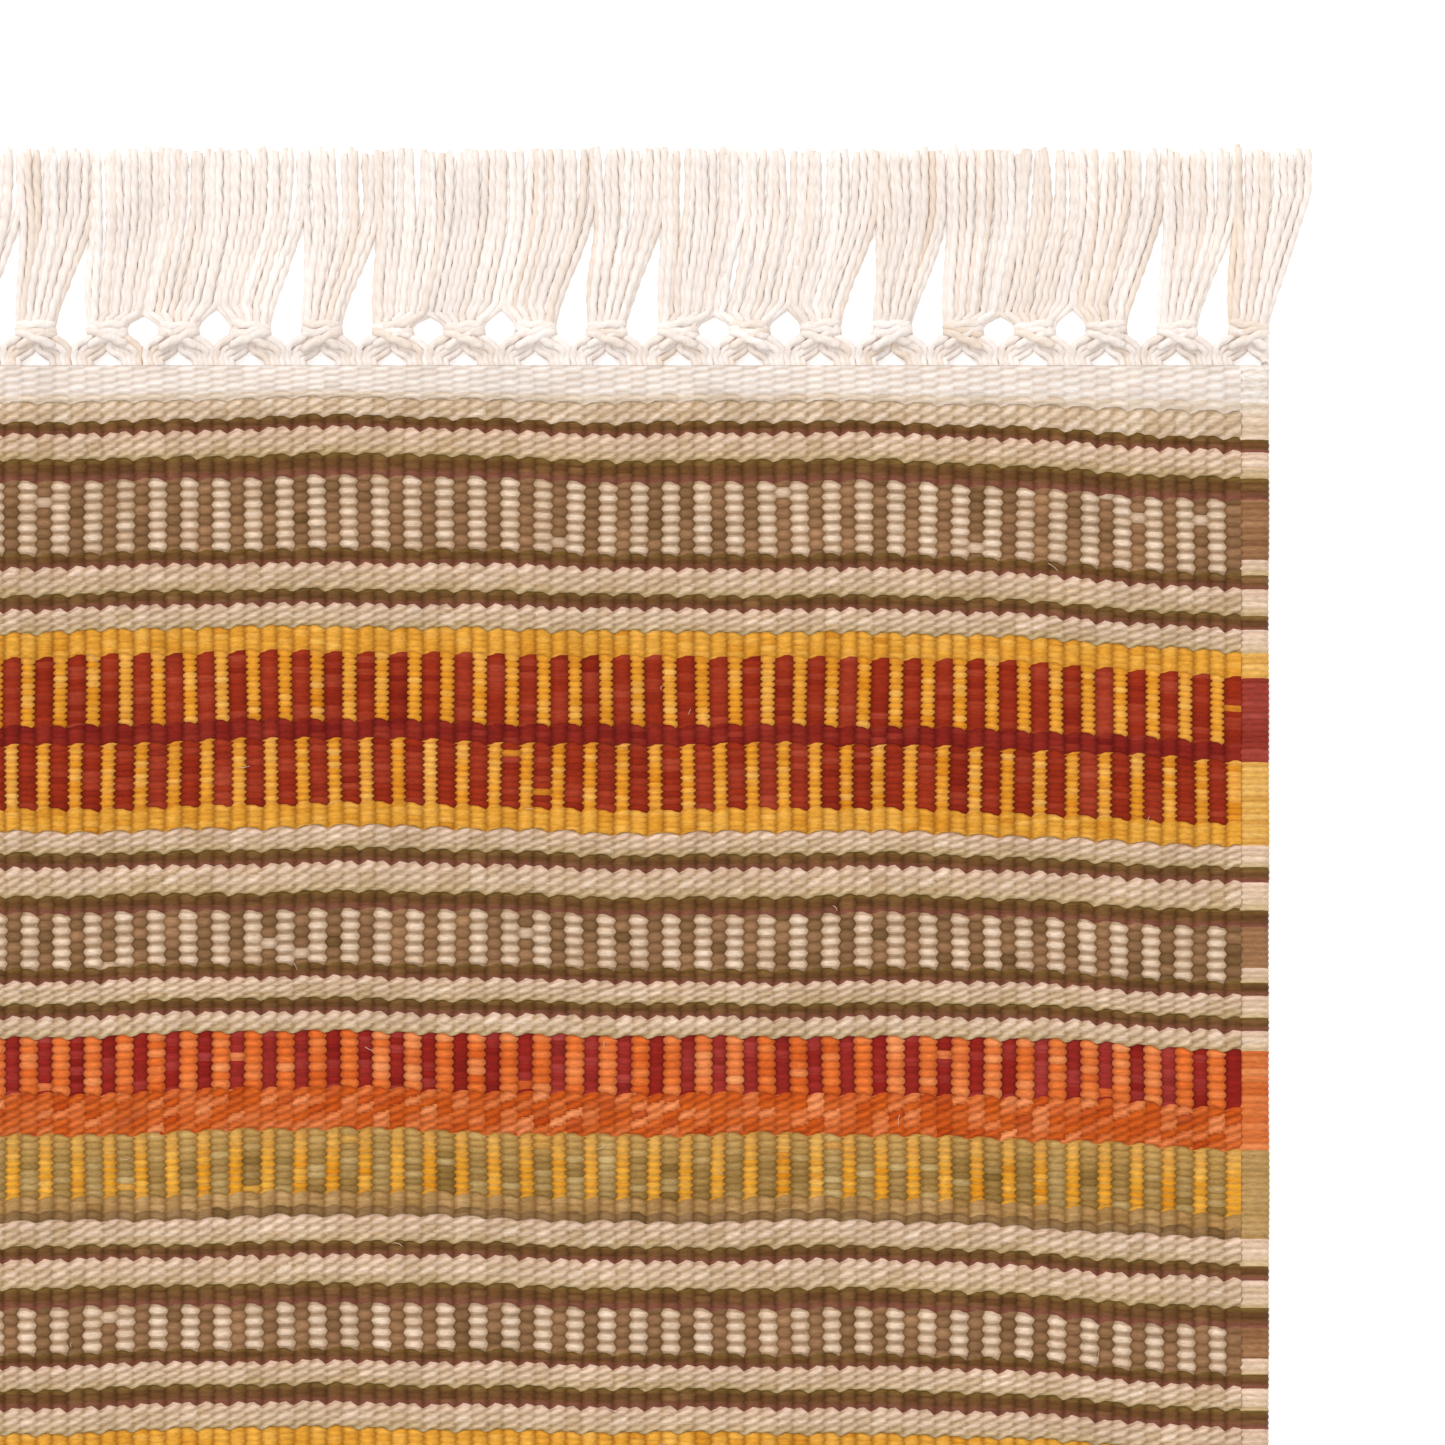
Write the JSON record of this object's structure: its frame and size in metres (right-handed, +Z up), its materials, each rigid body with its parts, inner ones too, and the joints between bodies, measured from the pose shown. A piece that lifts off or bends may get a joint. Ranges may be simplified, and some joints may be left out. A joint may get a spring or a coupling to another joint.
{
  "type": "runner rug",
  "caption": "Long flat-woven runner rug with striped wool weft over cotton warps, wrapped side edges and knotted tassel fringes; folds in half across its middle.",
  "frame": {"origin": "on the floor under the centre of the rug laid flat", "axes": "+X across the width, +Y along the length towards the far fringe, +Z up out of the face"},
  "size_m": [0.7166, 2.1252, 0.005],
  "materials": {
    "cotton_warp": "matt undyed cotton, knotted and twisted",
    "wool_stripes": "matt wool, brown and beige ridges",
    "wool_mustard_rust": "matt wool, mustard and rust ridges",
    "wool_orange_olive": "matt wool, orange and olive ridges",
    "wool_selvedge": "matt wool wrapped round the edge warps"
  },
  "bodies": {
    "far_half": {"heading_far": "cotton_warp", "mustard_band_18_far": "wool_mustard_rust", "mustard_band_22": "wool_mustard_rust", "mustard_band_26": "wool_mustard_rust", "mustard_band_30": "wool_mustard_rust", "mustard_band_34": "wool_mustard_rust", "olive_band_20": "wool_orange_olive", "olive_band_24": "wool_orange_olive", "olive_band_28": "wool_orange_olive", "olive_band_32": "wool_orange_olive", "selvedge_left_far": "wool_selvedge", "selvedge_right_far": "wool_selvedge", "warps_far_1": "cotton_warp", "warps_far_2": "cotton_warp", "warps_far_3": "cotton_warp", "warps_far_4": "cotton_warp", "warps_far_5": "cotton_warp", "warps_far_6": "cotton_warp", "warps_far_7": "cotton_warp", "wool_band_19": "wool_stripes", "wool_band_21": "wool_stripes", "wool_band_23": "wool_stripes", "wool_band_25": "wool_stripes", "wool_band_27": "wool_stripes", "wool_band_29": "wool_stripes", "wool_band_31": "wool_stripes", "wool_band_33": "wool_stripes", "wool_band_35": "wool_stripes"},
    "near_half": {"heading_near": "cotton_warp", "mustard_band_02": "wool_mustard_rust", "mustard_band_06": "wool_mustard_rust", "mustard_band_10": "wool_mustard_rust", "mustard_band_14": "wool_mustard_rust", "mustard_band_18_near": "wool_mustard_rust", "olive_band_04": "wool_orange_olive", "olive_band_08": "wool_orange_olive", "olive_band_12": "wool_orange_olive", "olive_band_16": "wool_orange_olive", "selvedge_left_near": "wool_selvedge", "selvedge_right_near": "wool_selvedge", "warps_near_1": "cotton_warp", "warps_near_2": "cotton_warp", "warps_near_3": "cotton_warp", "warps_near_4": "cotton_warp", "warps_near_5": "cotton_warp", "warps_near_6": "cotton_warp", "warps_near_7": "cotton_warp", "wool_band_01": "wool_stripes", "wool_band_03": "wool_stripes", "wool_band_05": "wool_stripes", "wool_band_07": "wool_stripes", "wool_band_09": "wool_stripes", "wool_band_11": "wool_stripes", "wool_band_13": "wool_stripes", "wool_band_15": "wool_stripes", "wool_band_17": "wool_stripes"}
  },
  "joints": [
    {"name": "fold_in_half", "type": "hinge", "parent": "far_half", "child": "near_half", "pos_m": [0, 0, 0.0065], "axis": [-1, 0, 0], "range_deg": [0, 180]}
  ]
}
